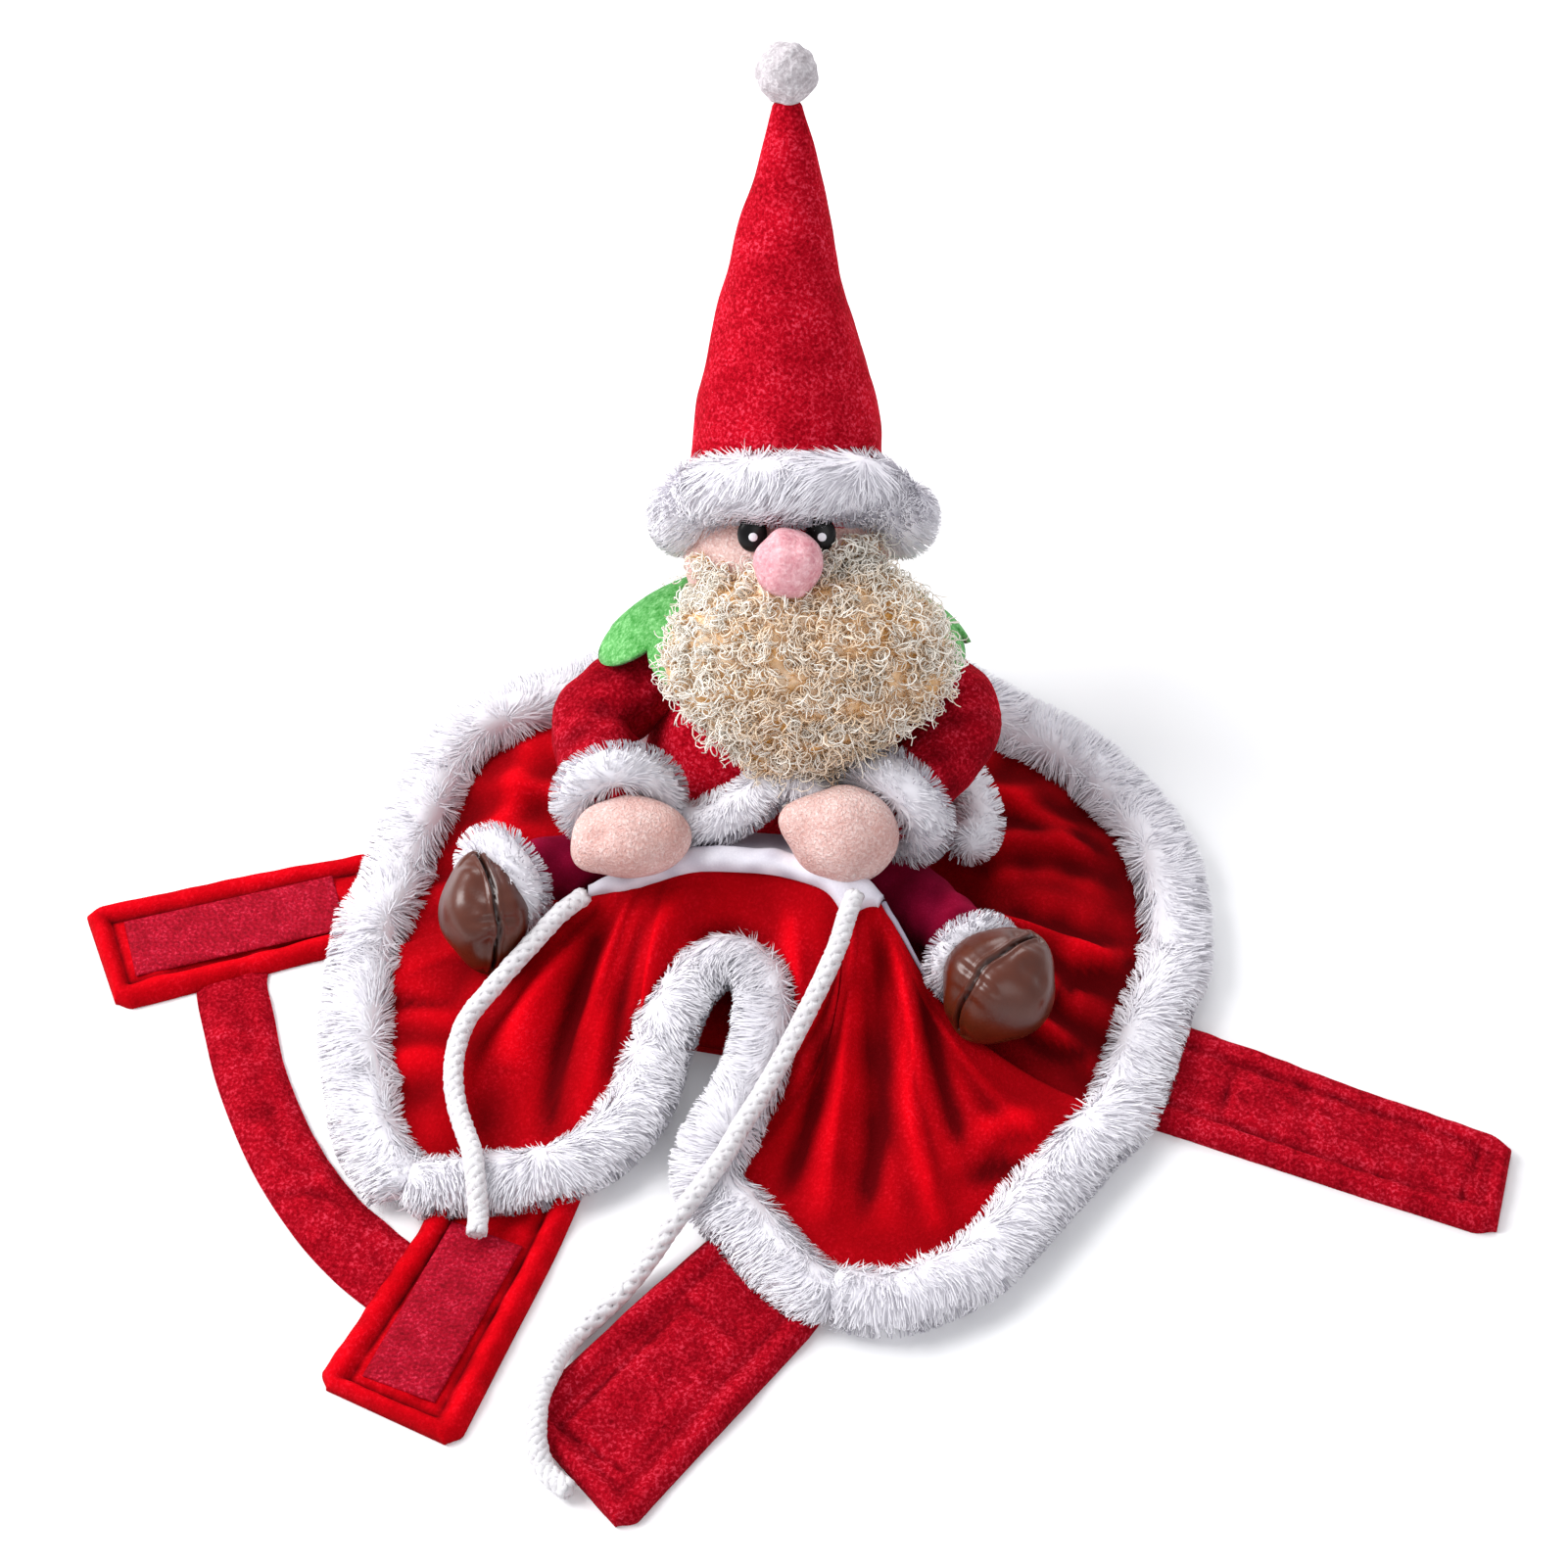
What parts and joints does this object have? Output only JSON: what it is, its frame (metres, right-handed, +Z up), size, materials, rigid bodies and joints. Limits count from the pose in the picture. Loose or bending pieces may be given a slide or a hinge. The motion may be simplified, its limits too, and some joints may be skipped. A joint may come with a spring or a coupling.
{
  "type": "dog santa costume",
  "caption": "Red plush dog cape with white fur trim, fastening straps, cord reins and a stuffed bearded rider in a tall hat, laid flat.",
  "frame": {"origin": "on the table under the rider's seat, in the flat underside of the back panel", "axes": "+Z up from the table, -Y towards the neck opening and the neck straps, +X towards the right belly strap"},
  "size_m": [0.4887, 0.4116, 0.247],
  "materials": {
    "cape_velvet": "short-pile red velvet",
    "suit_plush": "short-nap red plush",
    "white_fur": "white polyester fur, about 10 mm pile",
    "white_felt": "white needled felt ball",
    "white_lining": "plain white polyester lining",
    "cotton_cord": "braided white cotton cord",
    "fastening_tape": "red nylon hook and loop tape",
    "green_felt": "green craft felt",
    "crimson_felt": "crimson felt",
    "skin_plush": "short peach terry plush",
    "pink_felt": "pink felted plush",
    "curly_wool": "cream curled wool",
    "brown_leatherette": "glossy brown leatherette",
    "eye": "glossy black",
    "eye_dot": "pale dot"
  },
  "bodies": {
    "root": {"back_panel": "cape_velvet", "front_panel": "cape_velvet", "lining_edge": "white_lining", "hem_fur": "white_fur", "neck_fur": "white_fur", "belly_strap_left": "cape_velvet", "belly_strap_right": "cape_velvet", "neck_strap_left": "cape_velvet", "neck_strap_right": "cape_velvet", "chest_strip": "cape_velvet", "rein_left": "cotton_cord", "rein_right": "cotton_cord", "jacket": "suit_plush", "collar": "green_felt", "head": "skin_plush", "nose": "pink_felt", "hat": "suit_plush", "pompom": "white_felt", "hat_brim_fur": "white_fur", "beard": "curly_wool", "loop_tape_belly": "fastening_tape", "loop_tape_neck": "fastening_tape", "hook_tape_belly": "fastening_tape", "hook_tape_neck": "fastening_tape", "sleeve_left": "suit_plush", "sleeve_right": "suit_plush", "cuff_left": "white_fur", "cuff_right": "white_fur", "hand_left": "skin_plush", "hand_right": "skin_plush", "eye_left": "eye", "eye_left_glint": "eye_dot", "eye_right": "eye", "eye_right_glint": "eye_dot", "jacket_fur_front": "white_fur", "jacket_fur_back": "white_fur", "leg_left": "crimson_felt", "leg_right": "crimson_felt", "ankle_fur_left": "white_fur", "ankle_fur_right": "white_fur", "boot_left": "brown_leatherette", "boot_right": "brown_leatherette"}
  },
  "joints": []
}
